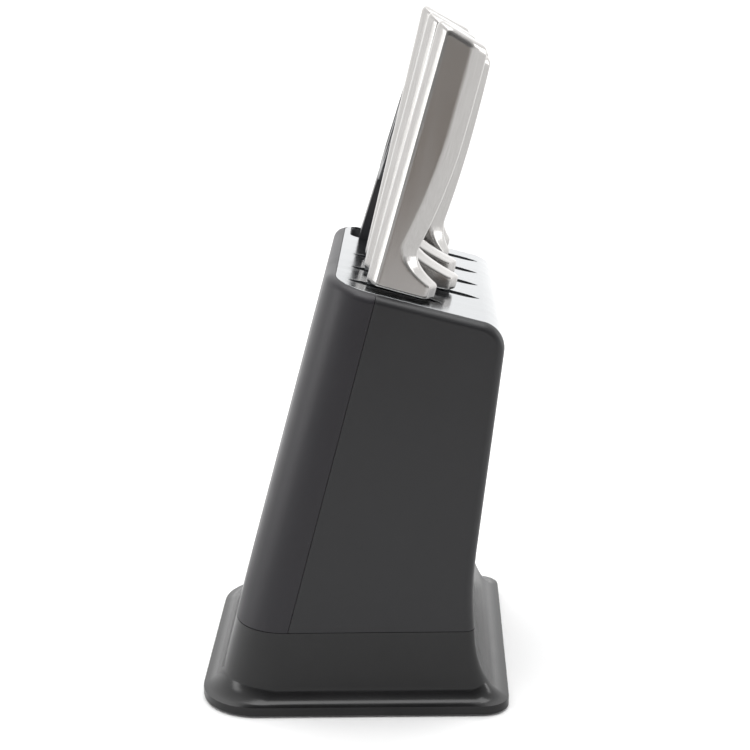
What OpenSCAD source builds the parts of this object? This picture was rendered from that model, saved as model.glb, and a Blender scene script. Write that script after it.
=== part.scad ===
// Slanted knife block with a flared foot, five hollow-handled knives and a pair of shears.
// Millimetres. The origin is the centre of the foot's underside, +Z is up and +X is the front.
// The deck slopes down to the front, so every knife stands square to it and leans forward.

/* [Foot] */
// Front-to-back length of the foot
foot_l = 150; // [135:1:190]
// Side-to-side width of the foot
foot_w = 160; // [154:1:200]
// Height of the foot's upright edge above the table
foot_edge_h = 5.5; // [4:0.5:9]
// Corner radius of the foot at the back
foot_back_r = 29; // [15:1:40]
// Corner radius of the foot at the front
foot_front_r = 12; // [5:1:30]
// Height above the table where the two shells stand on the base
seam_z = 41.5; // [36:0.5:60]
// Height of the concave sweep that joins the foot to the upright sides
sweep_h = 8; // [5:0.5:12]
// Height of the rubber pads' faces below the cover plate
pad_proud = 1.2; // [0.6:0.1:3]

/* [Body] */
// Width of the body between its flat sides
body_w = 147; // [142:1:176]
// Height of the deck plane above the origin
deck_z = 210.5; // [190:0.5:260]
// Slope of the deck, and so the lean of the knives
tilt = 15.6; // [8:0.2:22]
// Lean of the back face
back_lean = 16; // [8:0.2:22]
// Where the back face meets the table plane, measured from the origin
back_foot_x = -69.1; // [-80:0.5:-60]
// Lean of the straight part of the front face
front_lean = 7.8; // [4:0.2:12]
// Furthest-back point of the front face, at the waist
waist_x = 58.2; // [50:0.2:70]
// Height of the waist
waist_z = 56; // [50:1:75]
// Radius of the concave front
waist_r = 190; // [120:5:300]
// Radius of the upright corners at the back
back_r = 25; // [12:1:30]
// Radius rolled along the top edge and down the front corners
edge_r = 4.5; // [3.5:0.25:7]
// Radius of the bend between deck and front
bend_r = 13; // [9:0.5:18]
// Wall thickness of the mouldings
wall = 2.5; // [1.8:0.1:3]
// Distance of the join between the shells from the deck's datum
seam_a = 16; // [14.5:0.5:30]

/* [Deck] */
// Sheet thickness of the steel deck
deck_t = 1.0; // [0.6:0.1:1.5]
// Distance of the deck's back edge behind its datum
deck_back_a = 3.8; // [2:0.2:5]
// Corner radius of the steel deck
deck_corner_r = 18; // [8:1:24]
// How far the deck runs down the front below its bend
lip_l = 14; // [5:1:60]
// Distance between neighbouring knife rows
row_pitch = 27; // [24:0.5:28]
// Width of a knife slot
slot_w = 6.5; // [5.5:0.1:9]
// Length of the tapered end of a slot
slot_taper = 9; // [4:0.5:14]
// Front-to-back size of the shears slot
shears_slot_l = 15.2; // [14.5:0.1:16]
// Side-to-side size of the shears slot
shears_slot_w = 24; // [23:0.5:25]

/* [Knives] */
// Thickness of a handle between its flat sides
handle_t = 17; // [14:0.5:20]
// Length of a handle along its axis, at the middle of its end
handle_l = 119.6; // [100:0.1:140]
// Depth of a handle at its fullest, spine side to edge side
handle_d = 25.3; // [22:0.1:30]
// Wall of the hollow handle
handle_wall = 1.6; // [1:0.1:2.5]
// Gap between a stored handle and the deck
handle_gap = 1.7; // [1:0.1:4]
// Thickness of a blade at its spine
blade_t = 2.2; // [1.4:0.1:3]
// Thickness of the cap welded into a handle's end
cap_t = 3.4; // [2.5:0.1:6]

/* [Shears] */
// Extra forward lean of the shears against the knives
shears_lean = 2.8; // [0:0.1:3]
// Thickness of the shears' grips
grip_t = 7; // [5:0.25:7.5]
// Length of the shears' blades below the pivot
shears_blade_l = 95; // [70:1:110]
// Depth of the pivot below the deck
pivot_depth = 18; // [14:1:26]

/* [Fits] */
// Shadow gap between neighbouring mouldings
part_gap = 0.25; // [0.15:0.05:0.5]
// Clearance between a screw and the hole it passes through
screw_clear = 0.25; // [0.1:0.05:0.5]
// Clearance around the tang in its handle
tang_clear = 0.05; // [0.02:0.01:0.15]

/* [Hidden] */
$fn = 48;
eps = 0.01;

// Colours
shell_grey = [0.20, 0.20, 0.21];
back_grey = [0.23, 0.23, 0.25];
gloss_grey = [0.16, 0.16, 0.16];
steel = [0.80, 0.80, 0.79];
blade_steel = [0.72, 0.73, 0.75];
dark_plastic = [0.13, 0.13, 0.14];
rubber = [0.08, 0.08, 0.08];

// Screws: pan or countersunk heads, one size throughout
screw_r = 1.45;
screw_head_r = 2.8;
screw_head_h = 1.6;
post_r = 4.5;
boss_h = 16;

// ---------------------------------------------------------------- body outline
// Lines are [nx, nz, c]: the points with nx*x + nz*z = c, and n points out of the body.
function shifted(line, inset) = [line[0], line[1], line[2] - inset];
function crossing(p, q) =
    let (det = p[0] * q[1] - p[1] * q[0])
    [(p[2] * q[1] - p[1] * q[2]) / det, (p[0] * q[2] - p[2] * q[0]) / det];

top_line = [sin(tilt), cos(tilt), deck_z * cos(tilt)];
back_line = [-cos(back_lean), sin(back_lean), -back_foot_x * cos(back_lean)];
// The concave front is centred here, and the straight front leaves it as a tangent
waist_c = [waist_x + waist_r, waist_z];
front_n = [cos(front_lean), -sin(front_lean)];
front_line = [front_n[0], front_n[1], waist_c * front_n - waist_r];
bend_c = crossing(shifted(top_line, bend_r), shifted(front_line, bend_r));

// Inset of a rolled edge of radius r at depth d below the face it rolls onto
function roll(r, d) = d < r ? r - sqrt(r * r - (r - d) * (r - d)) : 0;
// Depth of the upright back corner at depth d, for a section already rolled in by e
function corner_roll(r, d, e) = d < r ? r - sqrt(max(0, (r - e) * (r - e) - (r - d) * (r - d))) : e;

// Side outline of the body at depth d inside its flat side, with everything inset by w.
// It runs clockwise seen from the near side: up the back, over the deck, down the front.
function side_outline(w, d, z_low) =
    let (
        r = edge_r - w,
        top_in = w + roll(r, d),
        roll_max = d < r ? acos(1 - d / r) : 90,
        low = [0, -1, -z_low],
        arc_r = waist_r + top_in,
        low_angle = asin((z_low - waist_z) / arc_r)
    )
    [
        crossing(shifted(back_line, w + corner_roll(back_r - w, d, 0)), low),
        for (k = [0:4])
            let (a = roll_max * k / 4, e = r * (1 - cos(a)), h = r * (1 - sin(a)))
            crossing(
                shifted(back_line, w + corner_roll(back_r - w, d, e)),
                shifted(top_line, w + h)
            ),
        for (k = [0:7])
            let (a = 90 - tilt + (tilt - 90 - front_lean) * k / 7)
            bend_c + (bend_r - top_in) * [cos(a), sin(a)],
        for (k = [0:6])
            let (a = front_lean + (low_angle - front_lean) * k / 6)
            waist_c - arc_r * [cos(a), -sin(a)]
    ];

// Depths at which the body is sectioned: close over the rolled edge, wider over the back corner
function depths(w) =
    let (r = edge_r - w, back = back_r - w)
    [
        for (a = [9, 27, 45, 63, 90]) r * (1 - cos(a)),
        for (k = [1:5]) let (first = acos(1 - r / back)) back * (1 - cos(first + (90 - first) * k / 5))
    ];

// Closed skin over a stack of rings, each anticlockwise seen from the stack's far end
module skin(rings) {
    n = len(rings[0]);
    m = len(rings);
    polyhedron(
        points = [for (ring = rings) each ring],
        faces = [
            [for (j = [0:n - 1]) j],
            for (i = [0:m - 2], j = [0:n - 1])
                let (a = i * n + j, b = i * n + (j + 1) % n) each [[a, a + n, b + n], [a, b + n, b]],
            [for (j = [n:-1:1]) (m - 1) * n + j % n]
        ]
    );
}

// The whole body as one solid, inset by w, from z_low upwards
module body_form(w, z_low) {
    side_y = body_w / 2 - w;
    d = depths(w);
    skin([
        for (k = [0:len(d) - 1]) [for (p = side_outline(w, d[k], z_low)) [p[0], d[k] - d[0] - side_y, p[1]]],
        for (k = [len(d) - 1:-1:0]) [for (p = side_outline(w, d[k], z_low)) [p[0], side_y - d[k] + d[0], p[1]]]
    ]);
}

// Deck frame: x runs down the deck towards the front, z stands square to it
module on_deck() {
    translate([0, 0, deck_z]) rotate([0, tilt, 0]) children();
}

// Everything behind (side = -1) or in front of (side = 1) the slanted join, with its shadow gap
module join_side(side) {
    big = 400;
    on_deck()
        translate([side < 0 ? seam_a - part_gap / 2 - big : seam_a + part_gap / 2, -big / 2, -big + 40])
            cube([big, big, big]);
}

// ---------------------------------------------------------------- steel deck
// Side view of a band that follows the deck and its bend, from proud of the surface to depth below it
module deck_band(proud, depth, back_a, lip) {
    top_n = [sin(tilt), cos(tilt)];
    down = -lip * [sin(front_lean), cos(front_lean)];
    back_plane = [cos(tilt), -sin(tilt), -back_a - deck_z * sin(tilt)];
    turn = [for (k = [0:14]) let (a = 90 - tilt + (tilt - 90 - front_lean) * k / 14) [cos(a), sin(a)]];
    polygon([
        crossing(shifted(top_line, depth), back_plane),
        crossing(shifted(top_line, -proud), back_plane),
        for (n = turn) bend_c + (bend_r + proud) * n,
        bend_c + (bend_r + proud) * front_n + down,
        bend_c + (bend_r - depth) * front_n + down,
        for (k = [14:-1:0]) bend_c + (bend_r - depth) * turn[k]
    ]);
}

// Plan of the deck: square at the front, with the two back corners rounded to r
module deck_plan(back_a, half, r) {
    for (s = [-1, 1]) translate([r - back_a, s * (half - r)]) circle(r);
    translate([-back_a, r - half]) square([r, 2 * (half - r)]);
    translate([r - back_a, -half]) square([100, 2 * half]);
}

// The deck sheet or its recess: from proud above the body's surface down to depth, grown all round
module deck_form(proud, depth, grow) {
    half = body_w / 2 - edge_r + grow;
    intersection() {
        translate([0, half + 5, 0]) rotate([90, 0, 0]) linear_extrude(2 * half + 10)
            deck_band(proud, depth, deck_back_a + grow + 5, lip_l + grow);
        on_deck() translate([0, 0, -80]) linear_extrude(100)
            deck_plan(deck_back_a + grow, half, deck_corner_r + grow);
    }
}

// ---------------------------------------------------------------- rows of slots
// Two handles: [length, depth at the fullest, share of that depth at the heel]
LARGE = [handle_l, handle_d, 0.59];
SMALL = [0.89 * handle_l, 0.893 * handle_d, 0.82];
// Per row: [y, slot start, slot end, handle's spine side, guard reach, blade length below deck,
// handle, lean in its slot]. Each knife has a little play in its slot, so some lean a degree or so.
ROWS = [
    [-2 * row_pitch, 2.4, 46.7, 10.2, 32.2, 188, LARGE, 1.0],
    [-row_pitch, 2.7, 65.3, 8.1, 44.8, 188, LARGE, 0],
    [0, 2.7, 65.3, 7.9, 44.7, 190, LARGE, -1.3],
    [row_pitch, 16.0, 65.8, 22.8, 26.6, 130, SMALL, 0],
    [2 * row_pitch, 17.5, 66.8, 23.0, 27.2, 92, SMALL, 0]
];
shears_slot_y = 2 * row_pitch - 3;
shears_slot_a = -0.8;
shears_a = 7.5;

// Plan of a knife slot: parallel sides that curve in to a narrow rounded tip at each end
module slot_plan(from, to, w) {
    tip = 0.7;
    mid = (from + to) / 2;
    half = (to - from) / 2;
    flat = half - slot_taper;
    steps = 6;
    side = [for (k = [0:steps]) let (s = k / steps) [flat + slot_taper * s, (w / 2) * (1 - s * s) + tip * s * s / 2]];
    translate([mid, 0]) polygon(concat(
        side,
        [for (k = [steps:-1:0]) [side[k][0], -side[k][1]]],
        [for (k = [0:steps]) [-side[k][0], -side[k][1]]],
        [for (k = [steps:-1:0]) [-side[k][0], side[k][1]]]
    ));
}

module round_rect(x0, x1, half_y, r) {
    for (y = [-half_y + r, half_y - r]) for (x = [x0 + r, x1 - r]) translate([x, y]) circle(r);
    translate([x0 + r, -half_y]) square([x1 - x0 - 2 * r, 2 * half_y]);
    translate([x0, -half_y + r]) square([x1 - x0, 2 * half_y - 2 * r]);
}

module shears_slot_plan(grow) {
    translate([0, shears_slot_y])
        round_rect(shears_slot_a - grow, shears_slot_a + shears_slot_l + grow, shears_slot_w / 2 + grow, 4 + grow);
}

// All six openings through the deck, each grown by the same amount
module slot_cutters(grow, z0, h) {
    translate([0, 0, z0]) linear_extrude(h) {
        for (row = ROWS) translate([0, row[0]]) slot_plan(row[1] - grow, row[2] + grow, slot_w + 2 * grow);
        shears_slot_plan(grow);
    }
}

// ---------------------------------------------------------------- base
// Plan ring: a rectangle from x0 to x1 and +-half_y, its back and front corners rounded
function plan_ring(x0, x1, half_y, rb, rf, z) = [
    for (a = [0:15:90]) [x1 - rf + rf * cos(a), half_y - rf + rf * sin(a), z],
    for (a = [90:9:180]) [x0 + rb + rb * cos(a), half_y - rb + rb * sin(a), z],
    for (a = [180:9:270]) [x0 + rb + rb * cos(a), -half_y + rb + rb * sin(a), z],
    for (a = [270:15:360]) [x1 - rf + rf * cos(a), -half_y + rf + rf * sin(a), z]
];

// Share of the flare at height z: 1 at the foot's edge, falling to 0 at height h above it
function flare(z, h) = let (s = min(1, max(0, (foot_edge_h + h - z) / h))) 1 - sqrt(1 - s * s);
function back_x(z) = back_foot_x + z * tan(back_lean);
waist_foot_x = waist_c[0] - sqrt(waist_r * waist_r - (seam_z - waist_z) * (seam_z - waist_z));

// Section of the base at height z, with its wall inset by w
function base_ring(z, w) =
    let (
        zf = max(z, foot_edge_h),
        front_h = seam_z - foot_edge_h,
        side = flare(zf, sweep_h),
        front = flare(zf, front_h),
        back = back_x(zf),
        low = (seam_z - zf) / (seam_z - foot_edge_h)
    )
    plan_ring(
        back + side * (-foot_l / 2 - back) + w,
        waist_foot_x + front * (foot_l / 2 - waist_foot_x) - w,
        body_w / 2 + side * (foot_w - body_w) / 2 - w,
        back_r + low * (foot_back_r - back_r) - w,
        edge_r + pow(low, 3) * (foot_front_r - edge_r) - min(w, edge_r - 1),
        z
    );

base_low = pad_proud - 0.4;
base_high = seam_z - part_gap / 2;
base_steps = [0, 0.35, 0.9, 1.8, 3, 4.5, 6.2, sweep_h, 12, 17, 23, 29];

module base_form(w, z0, z1) {
    skin([
        base_ring(z0, w + (w > 0 ? 0 : 0.5)),
        base_ring(z0 + 0.5, w),
        for (s = base_steps) if (foot_edge_h + s < z1 - 0.5) base_ring(foot_edge_h + s, w),
        base_ring(z1, w)
    ]);
}

// Screw posts: [x, y] of the two shells' screws on one side, mirrored to the other
shell_posts = [[back_x(seam_z) + 15.5, body_w / 2 - 10], [waist_x - 12, body_w / 2 - wall - post_r + 0.4]];
cover_posts = [[-15, body_w / 2 - wall - 3.6], [25, body_w / 2 - wall - 3.6]];
post_floor = 10;
screw_seat_z = 30;
cover_z = pad_proud;
cover_t = 2;
cover_post_r = 4;
cover_post_h = 20;

module both_sides(points) {
    for (p = points) for (s = [-1, 1]) translate([p[0], s * p[1]]) children();
}

// Ribs that tie the posts to the side walls
module post_ribs(points, z, h) {
    for (p = points) for (s = [-1, 1])
        translate([p[0] - 1, s > 0 ? p[1] : -p[1] - 12, z]) cube([2, 12, h]);
}

// Gloss moulding: flared foot and skirt, with posts for the shells' and the cover's screws
module base_skirt() {
    color(gloss_grey) difference() {
        union() {
            difference() {
                base_form(0, base_low, base_high);
                base_form(wall, base_low - 1, base_high + 1);
            }
            intersection() {
                base_form(wall / 2, base_low + 1, base_high);
                union() {
                    both_sides(shell_posts) translate([0, 0, post_floor]) cylinder(r = post_r, h = base_high - post_floor);
                    post_ribs(shell_posts, post_floor + 8, base_high - post_floor - 8);
                    both_sides(cover_posts)
                        translate([0, 0, cover_z + cover_t]) cylinder(r = cover_post_r, h = cover_post_h);
                }
            }
            for (s = [-1, 1]) translate([-14, s * (body_w / 2 - wall - part_gap - 0.9) - 0.9, seam_z - 8])
                cube([48, 1.8, 12]);
            for (s = [-1, 1]) translate([-14, s * (body_w / 2 - wall - part_gap - 0.45) - 1.1, seam_z - 8])
                cube([48, 2.2, 7]);
        }
        both_sides(shell_posts) {
            translate([0, 0, screw_seat_z - eps]) cylinder(r = screw_r + screw_clear, h = 30);
            translate([0, 0, post_floor - 6]) cylinder(r = screw_head_r + screw_clear, h = screw_seat_z - post_floor + 6);
        }
        both_sides(cover_posts) translate([0, 0, cover_z - 1]) cylinder(r = screw_r, h = 14);
    }
}

// Cover plate let into the underside; the pads sit in four round recesses
pad_r = 7;
pad_in = 0.8;
pad_pos = [[-48, 52], [52, 60]];
module bottom_cover() {
    color(dark_plastic) difference() {
        skin([base_ring(cover_z, wall + part_gap), base_ring(cover_z + cover_t, wall + part_gap)]);
        both_sides(pad_pos) translate([0, 0, cover_z - 1]) cylinder(r = pad_r + part_gap, h = 1 + pad_in);
        both_sides(cover_posts) {
            translate([0, 0, cover_z - 1]) cylinder(r = screw_r + screw_clear, h = cover_t + 2);
            translate([0, 0, cover_z - eps])
                cylinder(r1 = screw_head_r + screw_clear, r2 = screw_r + screw_clear, h = screw_head_h);
        }
    }
}

module rubber_feet() {
    color(rubber) both_sides(pad_pos) rotate_extrude() difference() {
        square([pad_r, pad_proud + pad_in]);
        translate([pad_r - 0.6, -eps]) polygon([[0, 0], [1, 0], [1, 1]]);
    }
}

module cover_screws() {
    color(steel) both_sides(cover_posts) translate([0, 0, cover_z]) {
        cylinder(r1 = screw_head_r, r2 = screw_r, h = screw_head_h - 0.2);
        cylinder(r = screw_r, h = 12);
    }
}

module shell_screws() {
    color(steel) both_sides(shell_posts) translate([0, 0, screw_seat_z]) {
        translate([0, 0, -screw_head_h]) cylinder(r = screw_head_r, h = screw_head_h);
        cylinder(r = screw_r, h = 22);
    }
}

// ---------------------------------------------------------------- shells
recess_d = deck_t + 0.2;
ledge = 4;
open_half_y = body_w / 2 - edge_r - ledge;
tray_drop = 6.5;
tray_t = 3;
boss_a = [24, 58];
tray_boss_y = body_w / 2 - 7.5;
tray_boss_r = 3.5;

// Walls of the body with the deck's recess, the way through for the slots and a screw boss pair
module shell_walls(posts) {
    difference() {
        union() {
            difference() {
                body_form(0, seam_z + part_gap / 2);
                body_form(wall, seam_z - 5);
            }
            intersection() {
                body_form(wall / 2, seam_z + part_gap / 2);
                union() {
                    both_sides(posts) translate([0, 0, seam_z]) cylinder(r = post_r, h = boss_h);
                    post_ribs(posts, seam_z, boss_h);
                }
            }
        }
        deck_form(2, recess_d, part_gap);
        on_deck() translate([0, 0, -wall - 1]) linear_extrude(wall + 2) {
            round_rect(1, bend_start_a + 1.5, open_half_y, 6);
            shears_slot_plan(1.8);
        }
        both_sides(posts) cylinder(r = screw_r, h = seam_z + boss_h - 4);
    }
}

// Where the bend leaves the flat deck, in the deck frame
bend_start_a = bend_c[0] * cos(tilt) - (bend_c[1] - deck_z) * sin(tilt);

// Curved rear moulding that wraps round both back corners
module back_shell() {
    color(back_grey) intersection() {
        shell_walls([shell_posts[0]]);
        join_side(-1);
    }
}

// Front and side moulding, with the tray's bosses, the comb's ledges and the tongues of the join
comb_depth = 118;
comb_t = 3;
tongue_l = 150;
module front_shell() {
    inner_y = body_w / 2 - wall;
    color(shell_grey) difference() {
        union() {
            intersection() {
                shell_walls([shell_posts[1]]);
                join_side(1);
            }
            on_deck() {
                for (a = boss_a) for (s = [-1, 1])
                    translate([a, s * tray_boss_y, -tray_drop]) cylinder(r = tray_boss_r, h = tray_drop - recess_d - 0.6);
                for (s = [-1, 1]) {
                    translate([seam_a + 0.5, s * (inner_y - 0.7) - 0.9, -12 - tongue_l]) cube([5, 1.8, tongue_l]);
                    translate([seam_a - 3.5, s * (inner_y - 1.6) - 0.9, -12 - tongue_l])
                        cube([5, 1.8, tongue_l]);
                    translate([seam_a + 8, s * (inner_y - 1.3) - 1.6, -comb_depth - comb_t - 3])
                        cube([42, 3.2, 3]);
                }
            }
        }
        on_deck() for (a = boss_a) for (s = [-1, 1])
            translate([a, s * tray_boss_y, -tray_drop - 1]) cylinder(r = screw_r, h = 4.5);
    }
}

module deck_plate() {
    color(steel) difference() {
        deck_form(0, deck_t, 0);
        on_deck() slot_cutters(0, -4, 8);
    }
}

// ---------------------------------------------------------------- slot tray and comb
collar_t = 1.5;
collar_l = 34;
tray_back_a = -5;
tray_front_a = bend_start_a + 4.5;

// Plastic tray under the deck: it lines every slot and guides each blade with a deep collar
module slot_tray() {
    low = -tray_drop - tray_t;
    inner_y = body_w / 2 - wall - 0.5;
    color(dark_plastic) difference() {
        on_deck() union() {
            translate([0, 0, low]) linear_extrude(tray_t) round_rect(tray_back_a, tray_front_a, inner_y, back_r - wall);
            slot_cutters(collar_t - 0.5, low, tray_drop + tray_t - deck_t - 0.15);
            translate([0, 0, -collar_l]) linear_extrude(collar_l + low + eps)
                for (row = ROWS) translate([0, row[0]]) slot_plan(row[1] - 1, row[2] + 1, slot_w + 2);
        }
        on_deck() {
            slot_cutters(-0.5, -collar_l - 1, collar_l + 2);
            for (a = boss_a) for (s = [-1, 1])
                translate([a, s * tray_boss_y, low - 1]) cylinder(r = screw_r + screw_clear, h = tray_t + 2);
        }
    }
}

module tray_screws() {
    low = -tray_drop - tray_t;
    color(steel) on_deck() for (a = boss_a) for (s = [-1, 1]) translate([a, s * tray_boss_y, low]) {
        translate([0, 0, -screw_head_h]) cylinder(r = screw_head_r, h = screw_head_h);
        cylinder(r = screw_r, h = tray_t + 3);
    }
}

// Lower guide inside the block: a slotted plate that keeps the long blades apart
module blade_comb() {
    color(dark_plastic) on_deck() translate([0, 0, -comb_depth - comb_t]) linear_extrude(comb_t) difference() {
        round_rect(tray_back_a, tray_front_a - 14, body_w / 2 - wall - 0.6, back_r - wall);
        for (row = ROWS) translate([0, row[0]]) slot_plan(row[1] - 2, min(row[2], 56), slot_w + 2);
        for (s = [-1, 1]) translate([seam_a - 6, s * (body_w / 2 - wall) - 3]) square([13, 6]);
    }
}

// ---------------------------------------------------------------- knives
guard_h = 6.5;
guard_rise = 15;
spine_bevel = 5.4;
edge_bevel = 8.1;
guard_bevel = 4.6;
nose_t = 5.6;
cap_slope = -0.28;
slope_run = 24;

// Height of the joint between a handle and its cap
function cap_low(kind) = kind[0] - cap_t;

// Depth of the handle at height h: a slim neck over a guard that reaches g, then a full belly
function grip_depth(kind, h) =
    let (fullest = 0.627 * kind[0], neck = kind[2])
    h < fullest
        ? kind[1] * (neck + (1 - neck) * sin(90 * h / fullest))
        : kind[1] - 0.6 * pow((h - fullest) / (kind[0] - fullest), 2);
function guard_depth(kind, h, g) =
    let (s = max(0, min(1, 1 - (h - guard_h) / guard_rise)))
    grip_depth(kind, h) + (g - grip_depth(kind, h)) * s * s;
function end_slope(kind, h) =
    cap_slope * pow(max(0, min(1, (h - cap_low(kind)) / slope_run + 1)), 2);

// Ring of a handle at height h, inset by w: an eight-sided section with eased corners
function handle_ring(kind, h, depth, w) =
    let (
        t = handle_t / 2 - w,
        n = max(0.8, nose_t / 2 - w / 2),
        sb = spine_bevel,
        rise = max(0, min(1, (h - guard_h) / 20)),
        eb = guard_bevel + (edge_bevel - guard_bevel) * rise * (2 - rise),
        x1 = depth - w,
        flat = [
            [x1, -n * 0.55], [x1, n * 0.55], [x1 - 0.45, n], [x1 - eb * 0.5, (n + t) / 2 + 0.35],
            [x1 - eb + 1.1, t - 0.35], [x1 - eb - 0.4, t],
            [w + sb + 0.4, t], [w + sb - 0.8, t - 0.25], [w + sb * 0.5, (n + t) / 2 + 0.35],
            [w + 0.45, n], [w, n * 0.55], [w, -n * 0.55], [w + 0.45, -n],
            [w + sb * 0.5, -(n + t) / 2 - 0.35], [w + sb - 0.8, -t + 0.25], [w + sb + 0.4, -t],
            [x1 - eb - 0.4, -t], [x1 - eb + 1.1, -t + 0.35], [x1 - eb * 0.5, -(n + t) / 2 - 0.35], [x1 - 0.45, -n]
        ]
    )
    [for (p = flat) [p[0], p[1], h + end_slope(kind, h) * (p[0] - kind[1] / 2)]];

neck_steps = [0.8, 3, guard_h, guard_h + 1, guard_h + 2.2, 9.5, 11, 12.8, 15, 17.5, 20.5, 24, 28, 33, 39, 46, 58];
cavity_from = 24;
tang_d = 12;
tang_h = 60;

// Places a knife's own frame: x from its spine to its edge, z along the handle, zero at the heel
module in_row(i) {
    on_deck() translate([ROWS[i][3], ROWS[i][0], handle_gap]) rotate([0, ROWS[i][7], 0]) children();
}

module handle_body(i) {
    g = ROWS[i][4];
    kind = ROWS[i][6];
    top = cap_low(kind);
    color(steel) in_row(i) difference() {
        skin([
            handle_ring(kind, 0, guard_depth(kind, 0, g) - 0.6, 0.6),
            for (h = neck_steps) handle_ring(kind, h, guard_depth(kind, h, g), 0),
            for (k = [1:7]) let (h = 58 + (top - 58) * k / 7) handle_ring(kind, h, grip_depth(kind, h), 0)
        ]);
        skin([
            for (h = [cavity_from, 36, 50, 66, 84, top - 8, top + 3])
                handle_ring(kind, h, grip_depth(kind, h), handle_wall)
        ]);
        translate([tang_from - tang_clear, -blade_t / 2 - tang_clear, -1])
            cube([tang_d + 2 * tang_clear, blade_t + 2 * tang_clear, tang_h]);
    }
}
tang_from = 4;

// Cap welded into the open end, with a bevel all round its face
module handle_cap(i) {
    kind = ROWS[i][6];
    bevel = 2.6;
    top = cap_low(kind);
    rise = cap_t - 0.02;
    depth = grip_depth(kind, top);
    color(steel) in_row(i) skin([
        handle_ring(kind, top + 0.02, depth, 0),
        for (a = [18, 36, 54, 72])
            handle_ring(kind, top + 0.02 + rise * sin(a), depth, bevel * (1 - cos(a))),
        handle_ring(kind, kind[0], depth, bevel)
    ]);
}

// Section of a ground blade: full thickness at the spine, thinning to the cutting edge
function blade_ring(z, x0, x1) =
    let (t = blade_t / 2, m = x0 + (x1 - x0) * 0.55)
    [[x0, -t], [m, -t * 0.85], [x1, -0.12], [x1, 0.12], [m, t * 0.85], [x0, t]];

// A blade hangs below its handle: straight spine, edge that curves up to meet it at the tip
function edge_x(s, x0, x1) = x0 + (x1 - x0) * sqrt(max(0, 1 - pow(s, 2.6)));
module ground_blade(length, depth, drop) {
    steps = 16;
    x0 = 0.8;
    skin([
        for (k = [steps:-1:0])
            let (s = 0.985 * sin(90 * k / steps), e = edge_x(s, x0 + drop * s * s, depth - 1.2))
            [for (p = blade_ring(0, x0 + drop * s * s, e)) [p[0], p[1], -length * s]]
    ]);
}

// A bread knife's edge is nearly straight and scalloped
module scalloped_blade(length, depth) {
    pitch = 6;
    count = floor((length - 26) / pitch);
    difference() {
        ground_blade(length, depth, 0);
        for (k = [1:count]) translate([depth - 0.4, 0, -8 - k * pitch]) rotate([90, 0, 0])
            translate([0, 0, -2]) cylinder(r = 2.2, h = 4, $fn = 24);
    }
}

module tang() {
    translate([tang_from, -blade_t / 2, -1]) cube([tang_d, blade_t, tang_h - 3]);
}

module knife_blade(i, depth, drop) {
    color(blade_steel) in_row(i) union() {
        ground_blade(ROWS[i][5] + handle_gap, depth, drop);
        tang();
    }
}

module carving_blade() { knife_blade(0, 30, 0); }
module carving_handle() { handle_body(0); }
module carving_cap() { handle_cap(0); }
module chef_blade() { knife_blade(1, 44, 2); }
module chef_handle() { handle_body(1); }
module chef_cap() { handle_cap(1); }
module bread_blade() {
    color(blade_steel) in_row(2) union() {
        scalloped_blade(ROWS[2][5] + handle_gap, 36);
        tang();
    }
}
module bread_handle() { handle_body(2); }
module bread_cap() { handle_cap(2); }
module utility_blade() { knife_blade(3, 25, 2); }
module utility_handle() { handle_body(3); }
module utility_cap() { handle_cap(3); }
module paring_blade() { knife_blade(4, 22, 3); }
module paring_handle() { handle_body(4); }
module paring_cap() { handle_cap(4); }

// ---------------------------------------------------------------- shears
// Own frame: z up the shears' axis, y across them, x through their thickness, zero at the deck
module on_shears() {
    on_deck() translate([shears_a, shears_slot_y, 0]) rotate([0, shears_lean, 0]) children();
}

leaf_t = 2.2;
leaf_gap = 0.1;
shears_pivot_r = 2.5;
grip_low = -8;
loop_c_z = 66;
loop_rz = 33;
near_loop_w = 36;
far_loop_w = 28;
loop_wall = 7;
shank_w = 9.5;
grip_gap = 0.5;

// Flat outline drawn as [y, z] and given thickness from x0 to x0 + t
module plate_yz(x0, t) {
    translate([x0, 0, 0]) rotate([90, 0, 90]) linear_extrude(t) children();
}

// One leaf, its grip on side s: it crosses at the pivot, so its blade lies on the other side
module leaf(s, x0) {
    difference() {
        plate_yz(x0, leaf_t) {
            polygon([
                [s * 1.5, -pivot_depth - 10], [-s * 8.6, -pivot_depth - 12], [-s * 7.6, -pivot_depth - 40],
                [-s * 5.4, -pivot_depth - 70], [-s * 1.6, -pivot_depth - shears_blade_l], [s * 0.4, -pivot_depth - shears_blade_l]
            ]);
            polygon([
                [-s * 8.6, -pivot_depth - 12.5], [s * 1.5, -pivot_depth - 12.5], [s * 7.4, -pivot_depth + 2],
                [s * 7.4, 14], [s * 2.4, 14], [s * 1.6, -pivot_depth + 9], [-s * 8.2, -pivot_depth]
            ]);
        }
        translate([x0 - 1, 0, -pivot_depth]) rotate([0, 90, 0])
            cylinder(r = shears_pivot_r + 0.05, h = leaf_t + 2);
    }
}

// Moulded grip: a straight shank by the middle line that opens into a finger loop
module grip(s, loop_w) {
    mid = s * (grip_gap + 0.4 + loop_w / 2);
    difference() {
        union() {
            plate_yz(-grip_t / 2, grip_t) polygon([
                [s * grip_gap, grip_low], [s * shank_w, grip_low], [s * shank_w, 26],
                [s * (shank_w + 4), 43], [s * (grip_gap + 3), 48], [s * (grip_gap + 0.7), 48]
            ]);
            plate_yz(-grip_t / 2, grip_t) translate([mid, loop_c_z]) loop_plan(loop_w / 2, loop_rz);
        }
        plate_yz(-grip_t / 2 - 1, grip_t + 2)
            translate([mid, loop_c_z + 0.5]) loop_plan(loop_w / 2 - loop_wall, loop_rz - loop_wall - 1);
    }
}

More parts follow.
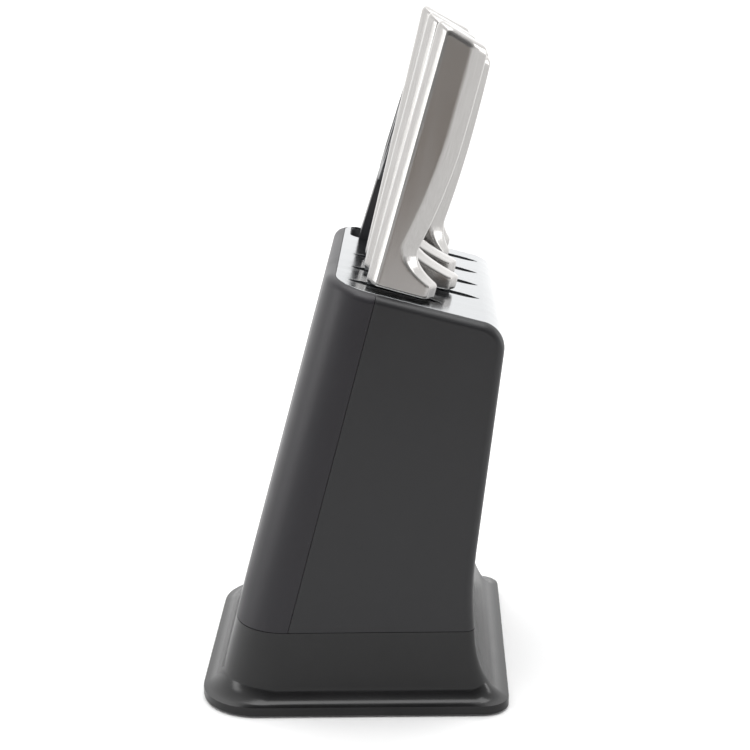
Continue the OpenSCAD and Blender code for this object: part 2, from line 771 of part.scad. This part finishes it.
// Upright loop of half-width a and half-height b with round ends
module loop_plan(a, b) {
    translate([0, b - a]) circle(a);
    translate([0, a - b]) circle(a);
    translate([-a, a - b]) square([2 * a, 2 * (b - a)]);
}

// The leaf's shank lies in a pocket of its grip
module leaf_pocket(s, x0) {
    translate([x0 - 0.02, s > 0 ? 1.5 : -7.5, grip_low - 1]) cube([leaf_t + 0.04, 6, 15.1 - grip_low]);
}

module shears_near_blade() { color(blade_steel) on_shears() leaf(-1, -leaf_t - leaf_gap / 2); }
module shears_near_grip() {
    color(dark_plastic) on_shears() difference() {
        grip(-1, near_loop_w);
        leaf_pocket(-1, -leaf_t - leaf_gap / 2);
    }
}
module shears_far_blade() { color(blade_steel) on_shears() leaf(1, leaf_gap / 2); }
module shears_far_grip() {
    color(dark_plastic) on_shears() difference() {
        grip(1, far_loop_w);
        leaf_pocket(1, leaf_gap / 2);
    }
}

// Rivet through both leaves, with a low head on each side
module shears_pivot() {
    head = 1.0;
    span = 2 * leaf_t + leaf_gap;
    color(blade_steel) on_shears() translate([-span / 2 - head, 0, -pivot_depth]) rotate([0, 90, 0]) {
        cylinder(r = 4, h = head);
        cylinder(r = shears_pivot_r, h = span + 2 * head);
        translate([0, 0, span + head + 0.05]) cylinder(r = 4, h = head - 0.05);
    }
}

// ---------------------------------------------------------------- drawing
base_skirt();
bottom_cover();
rubber_feet();
cover_screws();
shell_screws();
back_shell();
front_shell();
deck_plate();
slot_tray();
tray_screws();
blade_comb();
paring_blade();
paring_handle();
paring_cap();
chef_blade();
chef_handle();
chef_cap();
bread_blade();
bread_handle();
bread_cap();
utility_blade();
utility_handle();
utility_cap();
carving_blade();
carving_handle();
carving_cap();
shears_near_blade();
shears_near_grip();
shears_far_blade();
shears_far_grip();
shears_pivot();
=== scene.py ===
# %% [markdown]
# # A slanted knife block with a flared foot
# The block is a few plastic mouldings under a slotted steel deck. Five hollow steel handles stand
# in the slots, and a pair of shears stands behind them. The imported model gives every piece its
# place in metres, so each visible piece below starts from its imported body.

# %% Load the fixed frame and keep its box
import math

import bpy
from mathutils import Matrix, Vector


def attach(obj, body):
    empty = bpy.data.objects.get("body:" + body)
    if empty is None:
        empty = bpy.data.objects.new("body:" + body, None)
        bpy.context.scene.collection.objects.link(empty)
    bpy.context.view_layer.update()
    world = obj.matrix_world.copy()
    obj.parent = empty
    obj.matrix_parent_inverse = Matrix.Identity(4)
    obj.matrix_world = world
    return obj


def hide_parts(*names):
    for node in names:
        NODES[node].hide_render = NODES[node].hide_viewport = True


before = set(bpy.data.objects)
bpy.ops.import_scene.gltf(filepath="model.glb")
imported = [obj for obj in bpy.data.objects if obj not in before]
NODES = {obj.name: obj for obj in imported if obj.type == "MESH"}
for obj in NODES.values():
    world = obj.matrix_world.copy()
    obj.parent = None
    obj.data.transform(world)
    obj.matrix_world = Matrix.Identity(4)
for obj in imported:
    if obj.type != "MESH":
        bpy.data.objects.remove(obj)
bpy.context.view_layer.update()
MM = 0.001

# %% [markdown]
# ## Camera
# The view looks down by some 16 degrees, from just above the handles, and is almost square to the
# side of the block. A long lens from nearly a metre away keeps the perspective gentle. The camera
# comes first, because every finish is judged through it. It could be aimed by an empty and a
# constraint, but three plain angles say the same and can be read and changed.

# %% Place the camera from its three angles
YAW, PITCH, ROLL = math.radians(-1.86), math.radians(16.46), math.radians(-1.35)
CAMERA_PLACE = Vector((39.29, -851.22, 399.35)) * MM
FOCAL_LENGTH_MM, SENSOR_WIDTH_MM = 85.43, 36
NEAREST_SEEN, FARTHEST_SEEN = 0.05, 50

forward = Vector((math.sin(YAW) * math.cos(PITCH),
                  math.cos(YAW) * math.cos(PITCH),
                  -math.sin(PITCH)))
level = Vector((math.cos(YAW), -math.sin(YAW), 0))
upright = level.cross(forward)
# Roll turns the level and upright axes about the line of sight
across = math.cos(ROLL) * level + math.sin(ROLL) * upright
above = -math.sin(ROLL) * level + math.cos(ROLL) * upright

lens = bpy.data.cameras.new("view_lens")
lens.lens, lens.sensor_width = FOCAL_LENGTH_MM, SENSOR_WIDTH_MM
lens.clip_start, lens.clip_end = NEAREST_SEEN, FARTHEST_SEEN
camera = bpy.data.objects.new("view", lens)
bpy.context.scene.collection.objects.link(camera)
turn = Matrix((across, above, -forward)).transposed().to_4x4()
camera.matrix_world = Matrix.Translation(CAMERA_PLACE) @ turn
bpy.context.scene.camera = camera
print("camera at", [round(v, 3) for v in camera.location], "m")

# %% [markdown]
# ## Small helpers for materials
# Every finish is built from nodes. One function turns a hex colour into the linear numbers that
# Blender works in, by the sRGB standard's curve. One adds a node with its settings and links, so
# each material below reads as a short list of what is on the surface. One starts a material, and
# puts its plain values straight on the shader.

# %% Colour and node helpers
def linear(hex_colour):
    channels = [int(hex_colour[i:i + 2], 16) / 255 for i in (1, 3, 5)]
    return [c / 12.92 if c < 0.04045 else ((c + 0.055) / 1.055) ** 2.4 for c in channels] + [1]


def node(tree, kind, links=(), settings=(), values=()):
    """Adds a node; links are (input, source node, source output), values are (input, value)."""
    made = tree.nodes.new(kind)
    for name, value in settings:
        setattr(made, name, value)
    for name, value in values:
        made.inputs[name].default_value = value
    for name, source, output in links:
        tree.links.new(source.outputs[output], made.inputs[name])
    return made


def new_material(name, values):
    """A material, its node tree and its shader, with plain values set on the shader's sockets."""
    material = bpy.data.materials.new(name)
    material.use_nodes = True
    shader = material.node_tree.nodes["Principled BSDF"]
    for key, value in values:
        shader.inputs[key].default_value = value
    return material, material.node_tree, shader


# A Mix node has sockets for numbers, vectors and colours; these are the places of those in use
MIX_SHARE, NUMBER_A, NUMBER_B, COLOUR_A, COLOUR_B = 0, 2, 3, 6, 7
MIXED_NUMBER, MIXED_COLOUR = 0, 2
# Most of a noise lies between these two values, so they are stretched to the whole range
NOISE_SPAN = [("From Min", 0.3), ("From Max", 0.7)]
# How far handling and wear move a surface's roughness either way
ROUGHNESS_SWING = 0.03
print("black in linear numbers:", linear("#000000"), "white:", linear("#FFFFFF"))

# %% [markdown]
# ## Moulded ABS
# The body, the foot, the slot collars and the shears' grips are all ABS, moulded in steel tools.
# A spark-eroded tool leaves a fine even grain of about a quarter of a millimetre, which breaks up
# highlights into a soft sheen; a stoned tool leaves almost none, and the part stays satin. So one
# finish serves all of them, with its own two tones, roughness and grain. A slow cloud varies the
# colour and the gloss a little, as melt flow and handling do. The IOR of ABS is about 1.5.

# %% Make the moulded plastics
ABS_IOR = 1.5
FLOW_MARK_MM = 20
GRAIN_STRENGTH = 0.3


def moulded_abs(name, dark, light, roughness, grain_mm, grain_depth_mm):
    material, tree, shader = new_material(name, [("IOR", ABS_IOR)])
    place = node(tree, "ShaderNodeTexCoord")
    grain = node(tree, "ShaderNodeTexNoise", [("Vector", place, "Object")],
                 values=[("Scale", 1 / (grain_mm * MM)), ("Detail", 2)])
    cloud = node(tree, "ShaderNodeTexNoise", [("Vector", place, "Object")],
                 values=[("Scale", 1 / (FLOW_MARK_MM * MM)), ("Detail", 3)])
    share = node(tree, "ShaderNodeMapRange", [("Value", cloud, "Fac")], values=NOISE_SPAN)
    colour = node(tree, "ShaderNodeMix", [(MIX_SHARE, share, "Result")],
                  [("data_type", "RGBA")],
                  [(COLOUR_A, linear(dark)), (COLOUR_B, linear(light))])
    tree.links.new(colour.outputs[MIXED_COLOUR], shader.inputs["Base Color"])
    gloss = node(tree, "ShaderNodeMapRange", [("Value", cloud, "Fac")],
                 values=NOISE_SPAN + [("To Min", roughness - ROUGHNESS_SWING),
                                      ("To Max", roughness + ROUGHNESS_SWING)])
    tree.links.new(gloss.outputs["Result"], shader.inputs["Roughness"])
    bump = node(tree, "ShaderNodeBump", [("Height", grain, "Fac")],
                values=[("Strength", GRAIN_STRENGTH), ("Distance", grain_depth_mm * MM)])
    tree.links.new(bump.outputs["Normal"], shader.inputs["Normal"])
    return material


# After the two tones: roughness, then the grain's width and depth in mm
FRONT_ABS = moulded_abs("spark_eroded_abs_front", "#1F1F21", "#222224", 0.36, 0.25, 0.06)
BACK_ABS = moulded_abs("spark_eroded_abs_back", "#1D1B20", "#201E23", 0.42, 0.25, 0.06)
FOOT_ABS = moulded_abs("satin_abs_foot", "#131314", "#171718", 0.22, 0.35, 0.01)
TRAY_ABS = moulded_abs("satin_abs_collar", "#5E5F61", "#68696B", 0.40, 0.35, 0.02)
GRIP_ABS = moulded_abs("satin_abs_shears_grip", "#313134", "#39393C", 0.34, 0.3, 0.03)
print("plastics:", [m.name for m in (FRONT_ABS, BACK_ABS, FOOT_ABS, TRAY_ABS, GRIP_ABS)])

# %% [markdown]
# ## Brushed stainless steel
# An abrasive belt runs along each handle and along the deck, and leaves scratches one way. They
# are drawn as noise stretched along the belt's direction. A real scratch is about 0.05 mm wide,
# too fine to show, so it is drawn 0.25 mm wide. The mapping first turns the pattern by the deck's
# tilt, so that one of its axes runs down the deck and another along the handles. A metal keeps the
# default IOR, and takes its look from its pale base and from how rough the scratches leave it.

# %% Make the brushed steels
DECK_TILT = math.radians(15.6)
SCRATCH_STRENGTH = 0.25


def brushed_steel(name, dark, light, roughness, scratch_size, patch_size, scratch_depth_mm):
    material, tree, shader = new_material(name, [("Metallic", 1)])
    place = node(tree, "ShaderNodeTexCoord")
    turned = node(tree, "ShaderNodeMapping", [("Vector", place, "Object")],
                  values=[("Rotation", (0, -DECK_TILT, 0))])
    fine = node(tree, "ShaderNodeMapping", [("Vector", turned, "Vector")],
                values=[("Scale", [1 / (size * MM) for size in scratch_size])])
    wide = node(tree, "ShaderNodeMapping", [("Vector", turned, "Vector")],
                values=[("Scale", [1 / (size * MM) for size in patch_size])])
    scratch = node(tree, "ShaderNodeTexNoise", [("Vector", fine, "Vector")],
                   values=[("Scale", 1), ("Detail", 3)])
    patch = node(tree, "ShaderNodeTexNoise", [("Vector", wide, "Vector")],
                 values=[("Scale", 1), ("Detail", 2)])
    share = node(tree, "ShaderNodeMapRange", [("Value", scratch, "Fac")], values=NOISE_SPAN)
    colour = node(tree, "ShaderNodeMix", [(MIX_SHARE, share, "Result")],
                  [("data_type", "RGBA")],
                  [(COLOUR_A, linear(dark)), (COLOUR_B, linear(light))])
    tree.links.new(colour.outputs[MIXED_COLOUR], shader.inputs["Base Color"])
    gloss = node(tree, "ShaderNodeMapRange", [("Value", patch, "Fac")],
                 values=NOISE_SPAN + [("To Min", roughness - ROUGHNESS_SWING),
                                      ("To Max", roughness + ROUGHNESS_SWING)])
    tree.links.new(gloss.outputs["Result"], shader.inputs["Roughness"])
    bump = node(tree, "ShaderNodeBump", [("Height", scratch, "Fac")],
                values=[("Strength", SCRATCH_STRENGTH), ("Distance", scratch_depth_mm * MM)])
    tree.links.new(bump.outputs["Normal"], shader.inputs["Normal"])
    return material


# Scratches and worn patches are sized in mm: down the deck, across the block, along the handles
DECK_STEEL = brushed_steel("brushed_steel_deck", "#A4A6A8", "#ACAEB0", 0.16,
                           (30, 0.25, 30), (60, 5, 60), 0.01)
HANDLE_STEEL = brushed_steel("brushed_steel_handle", "#B9B7B5", "#C9C7C5", 0.25,
                             (0.25, 0.25, 12), (8, 8, 40), 0.02)
BLADE_STEEL = brushed_steel("ground_steel_blade", "#BFC2C4", "#D0D2D4", 0.22,
                            (0.3, 3, 20), (10, 10, 40), 0.01)
SCREW_STEEL = brushed_steel("zinc_plated_screw", "#A9ABAD", "#C4C6C8", 0.35,
                            (0.5, 0.5, 0.5), (4, 4, 4), 0.01)
print("steels:", [m.name for m in (DECK_STEEL, HANDLE_STEEL, BLADE_STEEL, SCREW_STEEL)])

# %% [markdown]
# ## Rubber pads
# The pads are moulded nitrile rubber: almost black, matt, and slightly dusty where they have
# picked up wear. A picture of dust would need a map, and one fine noise does as well here: it
# both lightens the colour in specks and raises them.

# %% Make the rubber
RUBBER_IOR, RUBBER_ROUGHNESS = 1.5, 0.85
SPECKS_PER_METRE = 1200
SPECK_STRENGTH, SPECK_DEPTH_MM = 0.3, 0.1

RUBBER, rubber_tree, rubber_shader = new_material(
    "moulded_rubber_pad", [("Roughness", RUBBER_ROUGHNESS), ("IOR", RUBBER_IOR)])
rubber_place = node(rubber_tree, "ShaderNodeTexCoord")
rubber_dust = node(rubber_tree, "ShaderNodeTexNoise", [("Vector", rubber_place, "Object")],
                   values=[("Scale", SPECKS_PER_METRE), ("Detail", 5)])
rubber_colour = node(rubber_tree, "ShaderNodeMix", [(MIX_SHARE, rubber_dust, "Fac")],
                     [("data_type", "RGBA")],
                     [(COLOUR_A, linear("#101010")), (COLOUR_B, linear("#2A2A2A"))])
rubber_tree.links.new(rubber_colour.outputs[MIXED_COLOUR], rubber_shader.inputs["Base Color"])
rubber_bump = node(rubber_tree, "ShaderNodeBump", [("Height", rubber_dust, "Fac")],
                   values=[("Strength", SPECK_STRENGTH), ("Distance", SPECK_DEPTH_MM * MM)])
rubber_tree.links.new(rubber_bump.outputs["Normal"], rubber_shader.inputs["Normal"])
print("rubber:", RUBBER.name)

# %% [markdown]
# ## From imported bodies to pieces
# A imported body is loose triangles, and each keeps its own three corners. A bevel or a remesh needs
# whole surfaces, so a copy is made at the origin and its corners are merged where they meet. The
# imported body itself is left alone. The copy then gets its material and the moving body it rides
# on, and the nodes that it stands for are hidden.

# %% Helpers that copy a imported body and hand over the finished piece
# Corners closer than this are one corner
MERGE_DISTANCE = 0.005 * MM


def select_only(*pieces):
    bpy.ops.object.select_all(action="DESELECT")
    for piece in pieces:
        piece.hide_set(False)
        piece.select_set(True)
    bpy.context.view_layer.objects.active = pieces[0]


def merged_copy(name, *node_names, flat=None):
    """One mesh of the named nodes, with corners merged and, within the angle flat, faces joined."""
    copies = []
    for node_name in node_names:
        copy = NODES[node_name].copy()
        copy.data = NODES[node_name].data.copy()
        copy.parent = None
        copy.matrix_world = Matrix.Identity(4)
        bpy.context.scene.collection.objects.link(copy)
        copies.append(copy)
    select_only(*copies)
    if len(copies) > 1:
        bpy.ops.object.join()
    piece = bpy.context.object
    piece.name = name
    bpy.ops.object.mode_set(mode="EDIT")
    bpy.ops.mesh.select_all(action="SELECT")
    bpy.ops.mesh.remove_doubles(threshold=MERGE_DISTANCE)
    if flat:
        bpy.ops.mesh.dissolve_limited(angle_limit=flat)
    bpy.ops.object.mode_set(mode="OBJECT")
    return piece


def apply_modifier(piece, name, kind, **settings):
    modifier = piece.modifiers.new(name, kind)
    for setting, value in settings.items():
        setattr(modifier, setting, value)
    bpy.ops.object.modifier_apply(modifier=modifier.name)


def hand_over(piece, material, body, slot, *node_names):
    piece.data.materials.clear()
    piece.data.materials.append(material)
    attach(piece, body)
    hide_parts(*node_names)
    print(piece.name, len(piece.data.polygons), "faces")


print("corners merge within", MERGE_DISTANCE / MM, "mm")

# %% [markdown]
# ## Finishing a moulding
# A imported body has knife-sharp edges, and a real moulding or a cut sheet has soft ones. So its flat
# triangles are joined into whole faces, its sharp edges get a narrow rounded bevel, and its
# shading follows the larger faces, which keeps the flats flat. A subdivided cage would round edges
# too, but it would move the surfaces that the fit depends on.

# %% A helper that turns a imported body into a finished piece
# Triangles that turn less than FLAT are one face, edges past SHARP are bevelled, and shading
# breaks past SMOOTH
FLAT, SHARP, SMOOTH = math.radians(0.4), math.radians(32), math.radians(35)


def finished(node_name, body, material, slot, edge_mm, segments=2):
    piece = merged_copy(node_name + "_finished", node_name, flat=FLAT)
    apply_modifier(piece, "soft_edges", "BEVEL", width=edge_mm * MM, segments=segments,
                   limit_method="ANGLE", angle_limit=SHARP, use_clamp_overlap=True)
    bpy.ops.object.shade_smooth_by_angle(angle=SMOOTH)
    apply_modifier(piece, "even_shading", "WEIGHTED_NORMAL", keep_sharp=True)
    hand_over(piece, material, body, slot, node_name)


print("edges sharper than", round(math.degrees(SHARP)), "degrees get a bevel")

# %% [markdown]
# ## The block's own pieces
# The foot is thick and generously rounded, so its edges are the softest. The two shells meet on a
# slanted line down each side, and their small bevels draw that line as a fine groove. The steel
# deck is a cut sheet that has been deburred, and the collars line its slots.

# %% Finish the block
for node_name, material, slot, edge_mm in (
        ("base_skirt", FOOT_ABS, "base", 0.35),
        ("back_shell", BACK_ABS, "back_shell", 0.2),
        ("front_shell", FRONT_ABS, "front_shell", 0.2),
        ("deck_plate", DECK_STEEL, "deck_plate", 0.18),
        ("slot_tray", TRAY_ABS, "dark_plastic", 0.15)):
    finished(node_name, "block", material, slot, edge_mm)

# %% [markdown]
# ## Steel handles
# A handle is a pressed shell with its end cap welded on, then ground and belted until the weld
# can't be seen and every ridge is a little round. A bevel would leave the weld line and crisp
# facets, so the shell and the cap are joined into one piece, remeshed to an even half-millimetre
# net, and smoothed just enough to soften the ridges.

# %% Join, remesh and soften the handles
KNIVES = ("paring", "chef", "bread", "utility", "carving")
NET_MM = 0.5
GRINDING_SHARE, GRINDING_PASSES = 0.5, 7


def forged_handle(knife):
    shell, cap = knife + "_handle", knife + "_cap"
    piece = merged_copy(knife + "_handle_finished", shell, cap)
    apply_modifier(piece, "even_net", "REMESH", mode="VOXEL", voxel_size=NET_MM * MM)
    apply_modifier(piece, "belt_grinding", "SMOOTH",
                   factor=GRINDING_SHARE, iterations=GRINDING_PASSES)
    bpy.ops.object.shade_smooth()
    hand_over(piece, HANDLE_STEEL, knife + "_knife", "handle_steel", shell, cap)


for knife in KNIVES:
    forged_handle(knife)

# %% [markdown]
# ## The shears' grips
# Each grip is a plastic loop, rounded all over where the fingers go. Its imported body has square
# edges, so they get a much wider bevel than the block's, in several steps.

# %% Finish the grips
GRIP_ROUNDING_MM, GRIP_STEPS = 1.6, 4
finished("shears_near_grip", "shears", GRIP_ABS, "grip_plastic", GRIP_ROUNDING_MM, GRIP_STEPS)
finished("shears_far_grip", "shears_far_half", GRIP_ABS, "grip_plastic",
         GRIP_ROUNDING_MM, GRIP_STEPS)

# %% [markdown]
# ## Pieces that are carried over
# Blades, screws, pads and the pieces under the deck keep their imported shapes, which are already
# right for what they are: ground flats, turned heads and plain plates. They only need a finish.

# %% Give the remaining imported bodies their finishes
CARRIED = {
    "bottom_cover": TRAY_ABS, "blade_comb": TRAY_ABS, "rubber_feet": RUBBER,
    "cover_screws": SCREW_STEEL, "shell_screws": SCREW_STEEL, "tray_screws": SCREW_STEEL,
    "shears_near_blade": BLADE_STEEL, "shears_far_blade": BLADE_STEEL,
    "shears_pivot": BLADE_STEEL,
}
CARRIED.update({knife + "_blade": BLADE_STEEL for knife in KNIVES})
for node_name, material in CARRIED.items():
    for material_slot in NODES[node_name].material_slots:
        material_slot.material = material
print(len(CARRIED), "packed bodies carried over")

# %% [markdown]
# ## Floor
# The block stands on a plain white floor. Plastic and steel would mirror too much of it, so on the
# near side reflections see a greyer sheet in its place, and on the far side they look past it to
# the surround. A dark card on the near side keeps the flats of the handles calm. In a studio such
# a card is called a flag. The camera sees neither of them, and neither casts a hard shadow. The
# flag does hold back soft light from the floor just under it, so a view from behind shows the
# floor grey there.

# %% Make the floor
# A millimetre apart, so that no two sheets share a plane
GREY_SHEET_HEIGHT, FLAG_HEIGHT = 1 * MM, 2 * MM
PAPER_ROUGHNESS = 0.9


def flat_sheet(name, size, place, colour):
    bpy.ops.object.select_all(action="DESELECT")
    bpy.ops.mesh.primitive_plane_add(size=1, location=place)
    sheet = bpy.context.object
    sheet.name = name
    sheet.scale = (size[0], size[1], 1)
    material, _, _ = new_material(name + "_paper", [("Roughness", PAPER_ROUGHNESS),
                                                    ("Base Color", linear(colour))])
    sheet.data.materials.append(material)
    return sheet


floor = flat_sheet("floor", (16, 16), (0, 0, 0), "#FBFBFB")
floor.visible_glossy = False
flag = flat_sheet("flag", (1.6, 3.0), (0.05, -2.46, FLAG_HEIGHT), "#665B52")
grey_sheet = flat_sheet("gloss_floor", (16, 8), (0, -3.75, GREY_SHEET_HEIGHT), "#CFCFCF")
grey_sheet.visible_diffuse = False
for sheet in (flag, grey_sheet):
    sheet.visible_camera = False
    sheet.visible_shadow = False
print("sheets:", [sheet.name for sheet in (floor, flag, grey_sheet)])

# %% [markdown]
# ## Lights
# The main light is wide and soft and comes from above. It could be a large lamp, but a sun with a
# very wide angle lights near and far alike, so the floor stays even. Shiny pieces need something
# to mirror: two tall narrow strips give the rounded edges of the handles their bright lines, and a
# square box overhead draws the pale line along every rounded top edge. Those three show only in
# reflections.

# %% Set the lights
STRIP_AIM = (0.1, 0.07, 0.28)
# Name, place, aim and size in metres, and power in watts
LAMPS = (
    ("left_strip", (-1.5, -0.1, 0.3), STRIP_AIM, (0.4, 1.6), 6),
    ("right_strip", (1.6, 0.2, 0.4), STRIP_AIM, (0.4, 1.4), 5),
    ("top_box", (0.1, -0.1, 1.8), (0.1, 0.0, 0.0), (1.5, 1.5), 20),
)
SUN_STRENGTH, SUN_WIDTH, SUN_TIP = 2.1, math.radians(100), math.radians(10)

for name, place, aim, size, power in LAMPS:
    light = bpy.data.lights.new(name, "AREA")
    light.shape, light.size, light.size_y = "RECTANGLE", size[0], size[1]
    light.energy = power
    lamp = bpy.data.objects.new(name, light)
    bpy.context.scene.collection.objects.link(lamp)
    lamp.location = place
    lamp.rotation_euler = (Vector(aim) - Vector(place)).to_track_quat("-Z", "Y").to_euler()
    lamp.visible_diffuse = False

sun = bpy.data.lights.new("overhead", "SUN")
sun.energy, sun.angle = SUN_STRENGTH, SUN_WIDTH
sun_lamp = bpy.data.objects.new("overhead", sun)
bpy.context.scene.collection.objects.link(sun_lamp)
sun_lamp.rotation_euler = (SUN_TIP, 0, 0)
sun_lamp.visible_glossy = False
print("lamps:", [lamp[0] for lamp in LAMPS], "and", sun_lamp.name)

# %% [markdown]
# ## Surround
# Polished and brushed metal shows what stands around it more than the lamps, so the surround does
# most of the work. It is bright behind, fair above, and dim on the near side, as a room is behind
# whoever looks. An image of a studio would do the same, but a plain grade along one direction has
# nothing in it to recognise, and its two ends are easy to set. The camera sees plain white.

# %% Grade the surround from bright behind to dim in front
# Away from the near side, and a little up
AWAY = (0, 1, 0.25)
DIM_END, BRIGHT_END = -0.85, 1.0
DIM, BRIGHT = 0.13, 1.5
WHITE_TO_CAMERA = 1.05

world = bpy.data.worlds.new("graded_surround")
bpy.context.scene.world = world
world.use_nodes = True
sky = world.node_tree
background = sky.nodes["Background"]
background.inputs["Color"].default_value = (1, 1, 1, 1)
direction = node(sky, "ShaderNodeTexCoord")
away = node(sky, "ShaderNodeVectorMath", [(0, direction, "Generated")],
            [("operation", "DOT_PRODUCT")], [(1, AWAY)])
grade = node(sky, "ShaderNodeMapRange", [("Value", away, "Value")],
             values=[("From Min", DIM_END), ("From Max", BRIGHT_END),
                     ("To Min", DIM), ("To Max", BRIGHT)])
path = node(sky, "ShaderNodeLightPath")
seen = node(sky, "ShaderNodeMix",
            [(MIX_SHARE, path, "Is Camera Ray"), (NUMBER_A, grade, "Result")],
            values=[(NUMBER_B, WHITE_TO_CAMERA)])
sky.links.new(seen.outputs[MIXED_NUMBER], background.inputs["Strength"])
bpy.context.scene.view_settings.view_transform = "Standard"
print("surround runs from", DIM, "to", BRIGHT)
